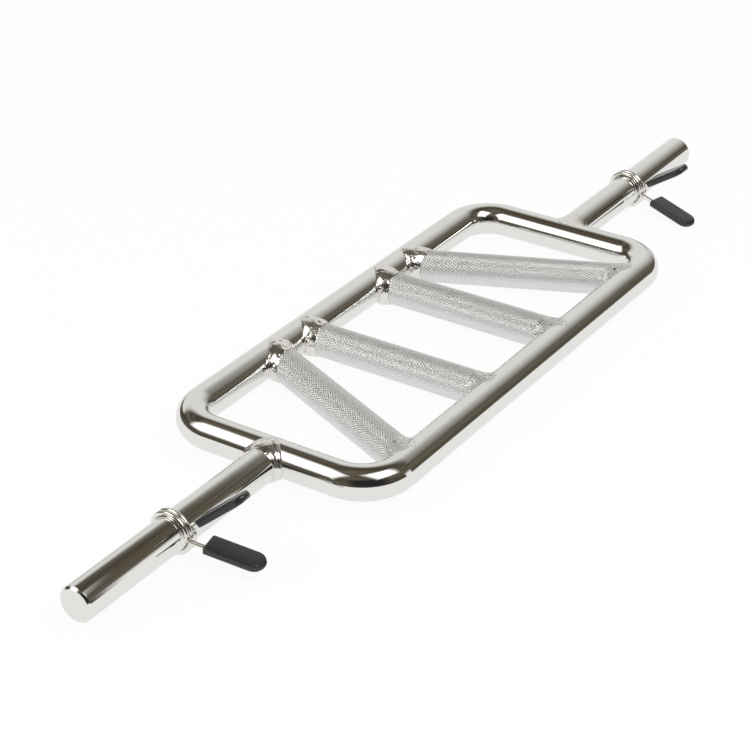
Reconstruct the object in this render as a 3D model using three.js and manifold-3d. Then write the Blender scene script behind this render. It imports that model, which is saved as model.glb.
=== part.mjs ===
// Multi-grip press bar: a bent tube frame with two sleeves for plates, four knurled handles and two spring collars.
// Millimetres, +Z up. X runs along the bar from its near end to its far end, and +Y points to the left rail.
// The origin lies on the floor, under the middle of the bar.
import * as THREE from "three";
import { mergeVertices } from "three/addons/utils/BufferGeometryUtils.js";
import Module from "manifold-3d";

// The bar's tubes, all of one diameter
const overallLength = 860;
const tubeDiameter = 26.7;
const tubeWall = 2.6;
const frameLength = 453;
const frameWidth = 200;
const frameBendRadius = 31;
const sleeveChamfer = 1.6;

// Handles, by where their centre lines meet the rails: the straight ones from the frame's middle, the slanted ones
// a step outside them on the left rail and an inset short of the frame's end on the right rail
const straightHandleX = 52.3;
const slantedHandleStep = 40.7;
const slantedHandleInset = 56.5;
const knurlRise = 0.25;
const knurlBevel = 0.5;
const knurlMargin = 1.4;

// Welds, fuller on the left rail, and the vent holes that they hide
const weldRadius = 3.4;
const leftWeldRadius = 4;
const weldSink = 0.9;
const ventDiameter = 8;
const cutOverrun = 2;

// Spring collars: one wound wire each, with two dipped grips
const nearCollarX = -328.5;
const farCollarX = 330.5;
const nearCollarTurn = 16;
const farCollarTurn = 10.8;
const wireDiameter = 3.5;
const coilTurns = 2;
const coilPitch = 4.1;
const coilRestFlat = 0.5;
const wireBendRadius = 5;
const wireLoopRadius = 4;
const wireTail = 5;
const collarSpread = 48.6;
const collarLean = 10.3;
const handleOffset = 3;
const gripStart = 28.5;
const gripLength = 43;
const gripWidth = 17;
const gripThickness = 5.6;
const gripRootRound = 1;

// Gap between pieces that seat on each other
const seatGap = 0.3;

// Facets
const tubeSides = 28;
const boreSides = 18;
const bendSteps = 8;
const wireSides = 6;
const coilStepsPerTurn = 24;
const wireBendSteps = 5;
const wireTurnSteps = 10;
const weldSteps = 28;
const weldSides = 8;
const gripSectionSteps = 4;
const gripTipSteps = 6;

// Places worked out from the sizes above
const tubeRadius = tubeDiameter / 2;
const boreRadius = tubeRadius - tubeWall;
const railX = frameLength / 2 - tubeRadius;
const railY = frameWidth / 2 - tubeRadius;
const slantedHandleLeftX = straightHandleX + slantedHandleStep;
const slantedHandleRightX = frameLength / 2 - slantedHandleInset;
const wireRadius = wireDiameter / 2;
const coilRadius = tubeRadius + seatGap + wireRadius;
const halfSpread = THREE.MathUtils.degToRad(collarSpread / 2);
// The rings that shape a grip's tip stop this far round, at a small flat.
const gripTipTurn = THREE.MathUtils.degToRad(80);

const wasm = await Module();
wasm.setup();

const chrome = new THREE.MeshStandardMaterial({ color: 0xd6d6d2, roughness: 0.1, metalness: 1 });
const knurledChrome = new THREE.MeshStandardMaterial({ color: 0xbcc0c4, roughness: 0.35, metalness: 1 });
const weldChrome = new THREE.MeshStandardMaterial({ color: 0xc9c8c2, roughness: 0.18, metalness: 1 });
const springWire = new THREE.MeshStandardMaterial({ color: 0xc6c2b8, roughness: 0.2, metalness: 1 });
const dippedVinyl = new THREE.MeshStandardMaterial({ color: 0x161616, roughness: 0.42, metalness: 0 });

// A closed geometry as a solid for cutting and joining.
function solidOf(geometry) {
  const bare = geometry.clone();
  bare.deleteAttribute("normal");
  bare.deleteAttribute("uv");
  const merged = mergeVertices(bare);
  return new wasm.Manifold(
    new wasm.Mesh({
      numProp: 3,
      vertProperties: merged.getAttribute("position").array,
      triVerts: new Uint32Array(merged.index.array),
    }),
  );
}

// A solid back as a geometry.
function geometryOf(solid) {
  const { vertProperties, triVerts } = solid.getMesh();
  const geometry = new THREE.BufferGeometry();
  geometry.setAttribute("position", new THREE.BufferAttribute(vertProperties, 3));
  geometry.setIndex(new THREE.BufferAttribute(triVerts, 1));
  return geometry;
}

function namedMesh(name, geometry, material) {
  const mesh = new THREE.Mesh(geometry, material);
  mesh.name = name;
  return mesh;
}

// Skins a row of rings, each with the same number of points. An open row gets a flat fan on each end.
function skin(rings, closed) {
  const sides = rings[0].length;
  const at = (ring, side) => (ring % rings.length) * sides + (side % sides);
  const index = [];
  const spans = closed ? rings.length : rings.length - 1;
  for (let ring = 0; ring < spans; ring++) {
    for (let side = 0; side < sides; side++) {
      index.push(at(ring, side), at(ring, side + 1), at(ring + 1, side + 1));
      index.push(at(ring, side), at(ring + 1, side + 1), at(ring + 1, side));
    }
  }
  for (let side = 1; !closed && side < sides - 1; side++) {
    index.push(at(0, 0), at(0, side + 1), at(0, side));
    index.push(at(spans, 0), at(spans, side), at(spans, side + 1));
  }
  const geometry = new THREE.BufferGeometry().setFromPoints(rings.flat());
  geometry.setIndex(index);
  return geometry;
}

// A round rod or tube along points. The section starts towards the reference, which may change along the way.
function roundSweep(points, radius, sides, closed, reference) {
  const count = points.length;
  const rings = points.map((point, i) => {
    const before = closed ? points[(i + count - 1) % count] : points[Math.max(i - 1, 0)];
    const after = closed ? points[(i + 1) % count] : points[Math.min(i + 1, count - 1)];
    const tangent = after.clone().sub(before).normalize();
    const normal = reference(i).clone().projectOnPlane(tangent).normalize();
    const binormal = tangent.clone().cross(normal);
    return Array.from({ length: sides }, (_, side) => {
      const angle = (2 * Math.PI * side) / sides;
      return point
        .clone()
        .addScaledVector(normal, radius * Math.cos(angle))
        .addScaledVector(binormal, radius * Math.sin(angle));
    });
  });
  return skin(rings, closed);
}

const up = new THREE.Vector3(0, 0, 1);
const sideways = new THREE.Vector3(1, 0, 0);

// The centre line of the frame: a rectangle with round corners, anticlockwise from above.
function framePath() {
  const points = [];
  const corners = [
    [1, 1],
    [-1, 1],
    [-1, -1],
    [1, -1],
  ];
  corners.forEach(([alongX, alongY], quarter) => {
    const centreX = alongX * (railX - frameBendRadius);
    const centreY = alongY * (railY - frameBendRadius);
    for (let step = 0; step <= bendSteps; step++) {
      const angle = (Math.PI / 2) * (quarter + step / bendSteps);
      points.push(
        new THREE.Vector3(
          centreX + frameBendRadius * Math.cos(angle),
          centreY + frameBendRadius * Math.sin(angle),
          0,
        ),
      );
    }
  });
  return points;
}

const frameLine = framePath();
const frameLoop = (radius, sides) => solidOf(roundSweep(frameLine, radius, sides, true, () => up));
// What lands on the frame is cut to this, a seat gap outside the frame's own skin.
const frameSeat = frameLoop(tubeRadius + seatGap, tubeSides);

// The centre line of a handle, from the left rail to the right rail.
function handleLine(leftX, rightX) {
  return {
    start: new THREE.Vector3(leftX, railY, 0),
    end: new THREE.Vector3(rightX, -railY, 0),
  };
}

const handles = {
  near_slanted_handle: handleLine(-slantedHandleLeftX, -slantedHandleRightX),
  near_straight_handle: handleLine(-straightHandleX, -straightHandleX),
  far_straight_handle: handleLine(straightHandleX, straightHandleX),
  far_slanted_handle: handleLine(slantedHandleLeftX, slantedHandleRightX),
};

// Turns a geometry that stands along Y so that it runs from one point to another, with its middle between them.
function layBetween(geometry, start, end) {
  const direction = end.clone().sub(start).normalize();
  const turn = new THREE.Quaternion().setFromUnitVectors(new THREE.Vector3(0, 1, 0), direction);
  const middle = start.clone().add(end).divideScalar(2);
  return geometry.applyQuaternion(turn).translate(middle.x, middle.y, middle.z);
}

// A hole through the rail's wall under a handle, where gas and plating fluid leave the hollow frame.
function ventHole(railPoint, inward) {
  const length = tubeRadius + cutOverrun;
  const hole = new THREE.CylinderGeometry(ventDiameter / 2, ventDiameter / 2, length, boreSides);
  return solidOf(layBetween(hole, railPoint, railPoint.clone().addScaledVector(inward, length)));
}

function frameTube() {
  let tube = frameLoop(tubeRadius, tubeSides).subtract(frameLoop(boreRadius, boreSides));
  for (const { start, end } of Object.values(handles)) {
    const direction = end.clone().sub(start).normalize();
    tube = tube.subtract(ventHole(start, direction));
    tube = tube.subtract(ventHole(end, direction.clone().negate()));
  }
  return geometryOf(tube);
}

// A solid round bar with a chamfered end, coped to the end rail.
function sleeve(direction) {
  const length = overallLength / 2 - railX;
  const profile = [
    new THREE.Vector2(0, 0),
    new THREE.Vector2(tubeRadius, 0),
    new THREE.Vector2(tubeRadius, length - sleeveChamfer),
    new THREE.Vector2(tubeRadius - sleeveChamfer, length),
    new THREE.Vector2(0, length),
  ];
  const bar = new THREE.LatheGeometry(profile, tubeSides);
  bar.rotateZ((-direction * Math.PI) / 2).translate(direction * railX, 0, 0);
  return geometryOf(solidOf(bar).subtract(frameSeat));
}

// A handle: a tube coped to both rails, with a band between the welds that the knurling has raised.
function handle({ start, end }) {
  const length = start.distanceTo(end);
  const slant = start.clone().sub(end).angleTo(new THREE.Vector3(0, 1, 0));
  const weldReach = (tubeRadius + leftWeldRadius) / Math.cos(slant) + tubeRadius * Math.tan(slant);
  const bandEnd = length / 2 - weldReach - knurlMargin;
  const profile = [
    new THREE.Vector2(boreRadius, -length / 2),
    new THREE.Vector2(tubeRadius, -length / 2),
    new THREE.Vector2(tubeRadius, -bandEnd - knurlBevel),
    new THREE.Vector2(tubeRadius + knurlRise, -bandEnd),
    new THREE.Vector2(tubeRadius + knurlRise, bandEnd),
    new THREE.Vector2(tubeRadius, bandEnd + knurlBevel),
    new THREE.Vector2(tubeRadius, length / 2),
    new THREE.Vector2(boreRadius, length / 2),
    new THREE.Vector2(boreRadius, -length / 2),
  ];
  const tube = new THREE.LatheGeometry(profile, tubeSides);
  return geometryOf(solidOf(layBetween(tube, start, end)).subtract(frameSeat));
}

// The weld round the end of a tube that lands on a rail: a bead along the line where their skins meet,
// cut back to the seat gap from both.
function weld(tubeEnd, outOfRail, railDirection, radius) {
  const across = outOfRail.clone().cross(up).normalize();
  const path = [];
  const outward = [];
  for (let step = 0; step < weldSteps; step++) {
    const angle = (2 * Math.PI * step) / weldSteps;
    const away = across.clone().multiplyScalar(Math.cos(angle)).addScaledVector(up, Math.sin(angle));
    const onTube = away.clone().multiplyScalar(tubeRadius - weldSink);
    // The distance along the tube at which this line leaves the rail's skin.
    const flatTube = outOfRail.clone().projectOnPlane(railDirection);
    const flatPoint = onTube.clone().projectOnPlane(railDirection);
    const a = flatTube.lengthSq();
    const b = flatTube.dot(flatPoint);
    const c = flatPoint.lengthSq() - tubeRadius * tubeRadius;
    const distance = (-b + Math.sqrt(b * b - a * c)) / a;
    path.push(tubeEnd.clone().add(onTube).addScaledVector(outOfRail, distance));
    outward.push(away);
  }
  const bead = solidOf(roundSweep(path, radius, weldSides, true, (i) => outward[i]));
  const reach = frameWidth;
  const tubeSkin = tubeRadius + seatGap;
  const tubeBlank = new THREE.CylinderGeometry(tubeSkin, tubeSkin, reach, tubeSides);
  const tubeSeat = solidOf(
    layBetween(tubeBlank, tubeEnd, tubeEnd.clone().addScaledVector(outOfRail, reach)),
  );
  return geometryOf(bead.subtract(frameSeat).subtract(tubeSeat));
}

// Angle, seen along the bar, from a handle of a collar back to where its wire leaves the coil.
const wireLead = Math.asin((wireBendRadius + handleOffset) / (coilRadius + wireBendRadius));
const coilHalfWidth = (coilTurns * coilPitch) / 2;
const bendCentre = coilRadius + wireBendRadius;
const bendEnd = bendCentre * Math.cos(wireLead);
const gripTipCentre = gripStart + gripLength - gripWidth / 2;

// The coil's centre line about X. It starts and ends a seat gap short of the handles' wires.
function coilPath() {
  const endAngle = halfSpread - wireLead - seatGap / 2 / coilRadius;
  const travel = 2 * Math.PI * coilTurns + 2 * endAngle;
  const steps = Math.round(coilStepsPerTurn * coilTurns);
  return Array.from({ length: steps + 1 }, (_, step) => {
    const share = step / steps;
    const angle = travel * share - endAngle;
    return new THREE.Vector3(
      coilHalfWidth * (2 * share - 1),
      -coilRadius * Math.cos(angle),
      coilRadius * Math.sin(angle),
    );
  });
}

// The least clear distance between turns of the coil, measured on the points of its centre line.
function leastCoilGap(points) {
  let least = Infinity;
  points.forEach((point, i) => {
    for (let j = i + coilStepsPerTurn / 2; j < points.length; j++) {
      least = Math.min(least, point.distanceTo(points[j]) - wireDiameter);
    }
  });
  return least;
}

// Past its bend a handle leans along the bar. The lean turns it in the plane of its grip, about the bend's end.
const leaned = (point, lean) =>
  point
    .clone()
    .sub(new THREE.Vector3(coilHalfWidth, -bendEnd, 0))
    .applyAxisAngle(up, lean)
    .add(new THREE.Vector3(coilHalfWidth, -bendEnd, 0));

// A handle's wire, with the handle pointing along -Y: out of the coil in a tight bend, along one side of the
// grip, round its tip and back along the other side.
function handleWire(radius, tail, lean) {
  const path = [];
  const outward = [];
  const bend = Math.PI / 2 - wireLead;
  const started = seatGap / 2 / wireBendRadius / bend;
  for (let step = 0; step <= wireBendSteps; step++) {
    const angle = Math.PI - wireLead - bend * Math.max(step / wireBendSteps, started);
    const out = bendEnd + wireBendRadius * Math.cos(angle);
    const height = -bendCentre * Math.sin(wireLead) + wireBendRadius * Math.sin(angle);
    path.push(new THREE.Vector3(coilHalfWidth, -out, height));
    outward.push(sideways);
  }
  const turnCentre = new THREE.Vector3(coilHalfWidth - wireLoopRadius, -gripTipCentre, -handleOffset);
  for (let step = 0; step <= wireTurnSteps; step++) {
    const angle = (Math.PI * step) / wireTurnSteps;
    const away = new THREE.Vector3(Math.cos(angle), -Math.sin(angle), 0);
    path.push(leaned(turnCentre.clone().addScaledVector(away, wireLoopRadius), lean));
    outward.push(away.applyAxisAngle(up, lean));
  }
  const end = turnCentre.clone().setX(coilHalfWidth - 2 * wireLoopRadius).setY(-gripStart - tail);
  path.push(leaned(end, lean));
  outward.push(outward.at(-1));
  return roundSweep(path, radius, wireSides, false, (i) => outward[i]);
}

// One ring of the grip: flat faces and half-round edges.
function gripRing(along, halfWidth, halfThickness) {
  const centreX = coilHalfWidth - wireLoopRadius;
  const ring = [];
  for (const edge of [1, -1]) {
    for (let step = 0; step <= gripSectionSteps; step++) {
      const angle = (Math.PI * step) / gripSectionSteps - edge * (Math.PI / 2);
      ring.push(
        new THREE.Vector3(
          centreX + edge * (halfWidth - halfThickness) + halfThickness * Math.cos(angle),
          -along,
          -handleOffset + halfThickness * Math.sin(angle),
        ),
      );
    }
  }
  return ring;
}

// A grip: a flat sheath with a round tip, dipped over the wire's loop and open only where the wire goes in.
function grip(lean) {
  const halfWidth = gripWidth / 2;
  const halfThickness = gripThickness / 2;
  const rings = [
    gripRing(gripStart, halfWidth - gripRootRound, halfThickness),
    gripRing(gripStart + gripRootRound, halfWidth, halfThickness),
    gripRing(gripTipCentre, halfWidth, halfThickness),
  ];
  for (let step = 1; step <= gripTipSteps; step++) {
    const angle = (gripTipTurn * step) / gripTipSteps;
    const along = gripTipCentre + halfWidth * Math.sin(angle);
    const left = gripStart + gripLength - along;
    const depth = Math.max(halfThickness - left, 0);
    const thick = Math.sqrt(halfThickness * halfThickness - depth * depth);
    rings.push(gripRing(along, Math.max(halfWidth * Math.cos(angle), thick), thick));
  }
  const sheath = solidOf(skin(rings.map((ring) => ring.map((point) => leaned(point, lean))), false));
  return geometryOf(sheath.subtract(solidOf(handleWire(wireRadius + seatGap, wireTail - seatGap, lean))));
}

// One handle of a collar. The lower one is the upper one turned half a turn about the line between them, but
// it leans the same way along the bar.
function collarHandle(name, isLower, lean) {
  const ownLean = isLower ? -lean : lean;
  const tilted = new THREE.Group();
  tilted.rotation.x = -halfSpread;
  tilted.add(namedMesh(name + "_wire", handleWire(wireRadius, wireTail, ownLean), springWire));
  tilted.add(namedMesh(name + "_grip", grip(ownLean), dippedVinyl));
  const side = new THREE.Group();
  side.rotation.y = isLower ? Math.PI : 0;
  side.add(tilted);
  return side;
}

const coilLine = coilPath();
console.log("least gap between turns of a collar:", leastCoilGap(coilLine).toFixed(2), "mm");

// The wound coil of a collar that is turned by an angle. The bar lies on its coils, so each is a little flat there.
function coilOf(turn) {
  const coil = solidOf(roundSweep(coilLine, wireRadius, wireSides, false, () => sideways));
  const floor = new THREE.BoxGeometry(tubeDiameter, 2 * tubeDiameter, tubeDiameter);
  floor.translate(0, 0, coilRestFlat - coilRadius - wireRadius - tubeDiameter / 2).rotateX(turn);
  return geometryOf(coil.subtract(solidOf(floor)));
}

// A collar, clamped on its sleeve with its handles to the right of the bar. They lean towards the frame.
function collar(name, x, turnDegrees) {
  const turn = THREE.MathUtils.degToRad(turnDegrees);
  const lean = -Math.sign(x) * THREE.MathUtils.degToRad(collarLean);
  const group = new THREE.Group();
  group.position.x = x;
  group.rotation.x = -turn;
  group.add(namedMesh(name + "_coil", coilOf(turn), springWire));
  group.add(collarHandle(name + "_upper", false, lean));
  group.add(collarHandle(name + "_lower", true, lean));
  return group;
}

const bar = new THREE.Group();
bar.add(namedMesh("frame_tube", frameTube(), chrome));

for (const [name, direction] of Object.entries({ near: -1, far: 1 })) {
  const outOfRail = new THREE.Vector3(direction, 0, 0);
  const landing = new THREE.Vector3(direction * railX, 0, 0);
  const railDirection = new THREE.Vector3(0, 1, 0);
  bar.add(namedMesh(name + "_sleeve", sleeve(direction), chrome));
  const bead = weld(landing, outOfRail, railDirection, weldRadius);
  bar.add(namedMesh(name + "_sleeve_weld", bead, weldChrome));
}

for (const [name, line] of Object.entries(handles)) {
  const direction = line.end.clone().sub(line.start).normalize();
  bar.add(namedMesh(name, handle(line), knurledChrome));
  const leftBead = weld(line.start, direction, sideways, leftWeldRadius);
  const rightBead = weld(line.end, direction.clone().negate(), sideways, weldRadius);
  bar.add(namedMesh(name + "_left_weld", leftBead, weldChrome));
  bar.add(namedMesh(name + "_right_weld", rightBead, weldChrome));
}

bar.add(collar("near_collar", nearCollarX, nearCollarTurn));
bar.add(collar("far_collar", farCollarX, farCollarTurn));

// Stand the bar on the floor.
bar.updateMatrixWorld(true);
const lowest = new THREE.Box3().setFromObject(bar, true).min.z;
bar.position.z = -lowest;
console.log("height of the bar's axis over the floor:", (-lowest).toFixed(3), "mm");

export default bar;
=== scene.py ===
# %% [markdown]
# # A chromed multi-grip press bar
#
# The real bar is one steel tube bent to a long rectangle. A sleeve for plates is welded to the middle of
# each short side and four knurled handles run across the frame. A spring collar with two dipped grips is
# clamped on each sleeve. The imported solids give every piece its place. This lesson puts smooth chrome,
# rolled knurling, lumpy welds and round spring wire over them.

import math

import bmesh
import bpy
from mathutils import Matrix, Vector


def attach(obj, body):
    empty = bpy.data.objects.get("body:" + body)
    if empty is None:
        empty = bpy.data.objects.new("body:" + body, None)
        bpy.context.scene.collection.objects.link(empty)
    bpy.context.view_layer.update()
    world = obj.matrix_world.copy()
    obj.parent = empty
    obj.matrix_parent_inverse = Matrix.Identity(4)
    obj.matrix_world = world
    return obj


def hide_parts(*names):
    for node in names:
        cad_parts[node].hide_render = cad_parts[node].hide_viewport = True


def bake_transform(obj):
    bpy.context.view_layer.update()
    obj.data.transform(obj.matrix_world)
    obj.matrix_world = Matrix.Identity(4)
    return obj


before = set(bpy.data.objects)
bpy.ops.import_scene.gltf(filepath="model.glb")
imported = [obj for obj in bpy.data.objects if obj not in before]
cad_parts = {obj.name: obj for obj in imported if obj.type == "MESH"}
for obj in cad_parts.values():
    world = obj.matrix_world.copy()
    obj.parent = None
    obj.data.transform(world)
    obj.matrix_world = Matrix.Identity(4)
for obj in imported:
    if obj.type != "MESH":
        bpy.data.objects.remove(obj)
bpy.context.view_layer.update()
print("solids in the frame:", len(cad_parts))

# %% [markdown]
# ## Sizes
#
# A maker works from one list of sizes, so the same values as in the part's source stand here, in metres.
# The places that follow from them, such as where a rail's centre line runs, are worked out and never
# typed in twice.

# %% Sizes of the bar
mm = 0.001
overall_length = 860 * mm
tube_radius = 26.7 * mm / 2
tube_wall = 2.6 * mm
frame_length = 453 * mm
frame_width = 200 * mm
frame_bend_radius = 31 * mm
sleeve_chamfer = 1.6 * mm
axis_height = 16.65 * mm
straight_handle_x = 52.3 * mm
slanted_handle_step = 40.7 * mm
slanted_handle_inset = 56.5 * mm

rail_x = frame_length / 2 - tube_radius
rail_y = frame_width / 2 - tube_radius
slanted_left_x = straight_handle_x + slanted_handle_step
slanted_right_x = frame_length / 2 - slanted_handle_inset
up = Vector((0, 0, 1))
along_bar = Vector((1, 0, 0))
across_bar = Vector((0, 1, 0))
print("rails at x", round(rail_x / mm, 2), "mm and y", round(rail_y / mm, 2), "mm")

# %% Sizes of the spring collars
wire_radius = 3.5 * mm / 2
seat_gap = 0.3 * mm
coil_radius = tube_radius + seat_gap + wire_radius
coil_turns = 2
coil_pitch = 4.1 * mm
wire_bend_radius = 5 * mm
wire_loop_radius = 4 * mm
wire_tail = 5 * mm
handle_offset = 3 * mm
half_spread = math.radians(48.6 / 2)
collar_lean = math.radians(10.3)
grip_start = 28.5 * mm
grip_length = 43 * mm
grip_width = 17 * mm
grip_thickness = 5.6 * mm
collars = {
    "near_collar": {"x": -328.5 * mm, "turn": math.radians(16), "lean": collar_lean},
    "far_collar": {"x": 330.5 * mm, "turn": math.radians(10.8), "lean": -collar_lean},
}

bend_centre = coil_radius + wire_bend_radius
wire_lead = math.asin((wire_bend_radius + handle_offset) / bend_centre)
bend_end = bend_centre * math.cos(wire_lead)
coil_half_width = coil_turns * coil_pitch / 2
coil_end_angle = half_spread - wire_lead
grip_tip_centre = grip_start + grip_length - grip_width / 2
print("the wire leaves the coil", round(math.degrees(wire_lead), 2), "degrees before its handle")

# %% [markdown]
# ## Camera
#
# The photograph looks down on the bar from its near right end with a long lens, so parallel tubes stay
# nearly parallel. A camera can be placed by eye, or worked out from points whose places are known on the
# object. Here it was worked out, because the tubes' long edges show an error of a fraction of a degree.

# %% Camera
camera_place = Vector((-1.2481, -0.7652, 0.81135))
camera_target = Vector((-0.0776, 0.0018, 0.01665))
lens_length, film_width = 101.8, 36
camera_data = bpy.data.cameras.new("camera")
camera_data.lens = lens_length
camera_data.sensor_width = film_width
camera = bpy.data.objects.new("camera", camera_data)
camera.location = camera_place
camera.rotation_euler = (camera_target - camera_place).to_track_quat("-Z", "Y").to_euler()
bpy.context.scene.collection.objects.link(camera)
bpy.context.scene.camera = camera
print("the camera is", round((camera_target - camera_place).length, 3), "m from the bar")

# %% [markdown]
# ## Helpers for node trees
#
# Materials, the studio and the repeated shapes are all node trees. Writing out every node and wire is
# long and hard to read, so these helpers add a node, fill its sockets and hand back the socket that the
# next step needs.


# %% Helpers for node trees
def add_node(tree, kind, inputs=None, **settings):
    """Adds a node, sets its properties, and fills its sockets with values or other nodes' outputs."""
    node = tree.nodes.new(kind)
    for setting, value in settings.items():
        setattr(node, setting, value)
    for socket, value in (inputs or {}).items():
        if isinstance(value, bpy.types.NodeSocket):
            tree.links.new(value, node.inputs[socket])
        else:
            node.inputs[socket].default_value = value
    return node


def worked(tree, operation, *values):
    """One sum on numbers."""
    return add_node(tree, "ShaderNodeMath", dict(enumerate(values)), operation=operation).outputs[0]


def point_at(tree, x, y, z):
    """A vector from three numbers."""
    return add_node(tree, "ShaderNodeCombineXYZ", {"X": x, "Y": y, "Z": z}).outputs["Vector"]


def remapped(tree, value, low, high, new_low, new_high):
    """A number carried smoothly from one range to another."""
    inputs = {"Value": value, "From Min": low, "From Max": high, "To Min": new_low, "To Max": new_high}
    return add_node(tree, "ShaderNodeMapRange", inputs, interpolation_type="SMOOTHSTEP").outputs["Result"]


def mixed_colour(tree, share, first, second):
    """A colour between two others. Of the node's many sockets, inputs 6 and 7 and output 2 are colours."""
    return add_node(tree, "ShaderNodeMix", {0: share, 6: first, 7: second}, data_type="RGBA").outputs[2]


noise_low, noise_middle, noise_high = 0.3, 0.5, 0.7


def noise(tree, place, size, detail):
    """Soft random patches of about one size: a number that is mostly between the low and high value."""
    inputs = {"Vector": place, "Scale": 1 / size, "Detail": detail}
    return add_node(tree, "ShaderNodeTexNoise", inputs).outputs[0]


def bumped(tree, height, depth):
    """A surface direction that follows small bumps."""
    inputs = {"Height": height, "Distance": depth, "Strength": 1.0}
    return add_node(tree, "ShaderNodeBump", inputs).outputs["Normal"]


def start_material(name):
    """A material with an empty node tree."""
    material = bpy.data.materials.new(name)
    material.use_nodes = True
    material.node_tree.nodes.clear()
    return material, material.node_tree


def ray_kinds(tree):
    """Whether the camera sent a ray, and whether a mirror did."""
    rays = add_node(tree, "ShaderNodeLightPath").outputs
    mirror_ray = worked(tree, "MAXIMUM", rays["Is Glossy Ray"], rays["Is Transmission Ray"])
    return rays["Is Camera Ray"], mirror_ray


def start_shape_tree(name, inputs):
    """A Geometry Nodes tree with named inputs. Returns it and the outputs of its Group Input node."""
    tree = bpy.data.node_groups.new(name, "GeometryNodeTree")
    tree.interface.new_socket("Geometry", in_out="INPUT", socket_type="NodeSocketGeometry")
    tree.interface.new_socket("Geometry", in_out="OUTPUT", socket_type="NodeSocketGeometry")
    for label, kind in inputs.items():
        tree.interface.new_socket(label, in_out="INPUT", socket_type="NodeSocket" + kind)
    return tree, tree.nodes.new("NodeGroupInput").outputs


def end_shape_tree(tree, shape, finish, smooth=True):
    """Ends a tree: the shading, Realize Instances and Set Material."""
    shaded = add_node(tree, "GeometryNodeSetShadeSmooth", {"Geometry": shape, "Shade Smooth": smooth})
    real = add_node(tree, "GeometryNodeRealizeInstances", {"Geometry": shaded.outputs["Geometry"]})
    inputs = {"Geometry": real.outputs["Geometry"], "Material": finish}
    coloured = add_node(tree, "GeometryNodeSetMaterial", inputs)
    add_node(tree, "NodeGroupOutput", {"Geometry": coloured.outputs["Geometry"]})


def swept_round(tree, line, radius, sides, capped):
    """A round section pushed along a line."""
    inputs = {"Resolution": sides, "Radius": radius}
    section = add_node(tree, "GeometryNodeCurvePrimitiveCircle", inputs, mode="RADIUS").outputs["Curve"]
    inputs = {"Curve": line, "Profile Curve": section, "Fill Caps": capped}
    return add_node(tree, "GeometryNodeCurveToMesh", inputs).outputs["Mesh"]


# %% [markdown]
# ## Helpers for pieces
#
# Each tree is run on a carrier object and its result is kept as a plain mesh, with its place already in
# the mesh. A piece then only needs to be told which body it rides on and which solid it stands for.
# Turning the faces outwards matters here: a mirror finish shows a face that is inside out at once.


# %% Helpers for pieces
def path_mesh(name, points):
    """Points joined by edges, for a tree to follow."""
    mesh = bpy.data.meshes.new(name)
    mesh.from_pydata(points, [(i, i + 1) for i in range(len(points) - 1)], [])
    return mesh


def face_outwards(mesh):
    """Turns the faces outwards and returns the volume inside them."""
    work = bmesh.new()
    work.from_mesh(mesh)
    bmesh.ops.recalc_face_normals(work, faces=work.faces)
    if work.calc_volume(signed=True) < 0:
        bmesh.ops.reverse_faces(work, faces=work.faces)
    volume = work.calc_volume(signed=True)
    work.to_mesh(mesh)
    work.free()
    return volume


def as_piece(name, mesh, body, replaced=()):
    """Links a finished mesh as a piece, riding on a body if one is given, and hides the solids it stands
    for.
    """
    piece = bpy.data.objects.new(name, mesh)
    bpy.context.scene.collection.objects.link(piece)
    if body:
        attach(piece, body)
    if replaced:
        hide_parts(*replaced)
    return piece


def grown(tree, name, values, source=None):
    """Runs a tree on a source mesh and returns its result as a plain mesh."""
    carrier = bpy.data.objects.new(name + "_carrier", source or bpy.data.meshes.new(name + "_source"))
    bpy.context.scene.collection.objects.link(carrier)
    modifier = carrier.modifiers.new(tree.name, "NODES")
    modifier.node_group = tree
    for socket in tree.interface.items_tree:
        if socket.in_out == "INPUT" and socket.name in values:
            modifier[socket.identifier] = values[socket.name]
    bpy.context.view_layer.update()
    evaluated = carrier.evaluated_get(bpy.context.evaluated_depsgraph_get())
    mesh = bpy.data.meshes.new_from_object(evaluated)
    mesh.name = name
    carrier.modifiers.remove(modifier)
    bpy.data.objects.remove(carrier)
    return mesh


# %% [markdown]
# ## Studio
#
# Chrome has hardly any colour of its own: it shows the room. In the photograph the bar lies on a white
# sweep in a dark, warm brown room. A grey card leans over it from the far end, a soft box hangs on each
# side, a black cloth hangs behind the camera and a white board stands on the right. So the world is white
# where the camera looks at it, plain for the diffuse light, and a dark room for mirror rays. The room has
# level bands of lighter and darker brown, which draw fine lines along the tubes.

# %% World
world = bpy.data.worlds.new("studio")
world.use_nodes = True
bpy.context.scene.world = world
room = world.node_tree
room.nodes.clear()

plain_level = 0.70
plain = (plain_level, plain_level, plain_level, 1)
light_brown = (0.135, 0.116, 0.088, 1)
dark_brown = (0.058, 0.048, 0.034, 1)
bands_per_side = (0.5, 0.5, 7.0)
band_low, band_high = 0.35, 0.65
white = (1, 1, 1, 1)
direction = add_node(room, "ShaderNodeTexCoord").outputs["Generated"]
inputs = {0: direction, 1: bands_per_side}
flattened = add_node(room, "ShaderNodeVectorMath", inputs, operation="MULTIPLY").outputs[0]
bands = noise(room, flattened, 1, detail=2.0)
band_share = remapped(room, bands, band_low, band_high, 0, 1)
dark_room = mixed_colour(room, band_share, dark_brown, light_brown)
camera_ray, mirror_ray = ray_kinds(room)
colour = mixed_colour(room, mirror_ray, plain, dark_room)
colour = mixed_colour(room, camera_ray, colour, white)
background = add_node(room, "ShaderNodeBackground", {"Color": colour, "Strength": 1.0})
add_node(room, "ShaderNodeOutputWorld", {"Surface": background.outputs["Background"]})

# %% [markdown]
# The floor is a white sweep. Seen by the camera or in the chrome it is mostly its own white, as an
# over-lit sweep is in a photograph, and a part of it is plain diffuse white, so that the bar still leaves
# its soft shadow.

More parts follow.
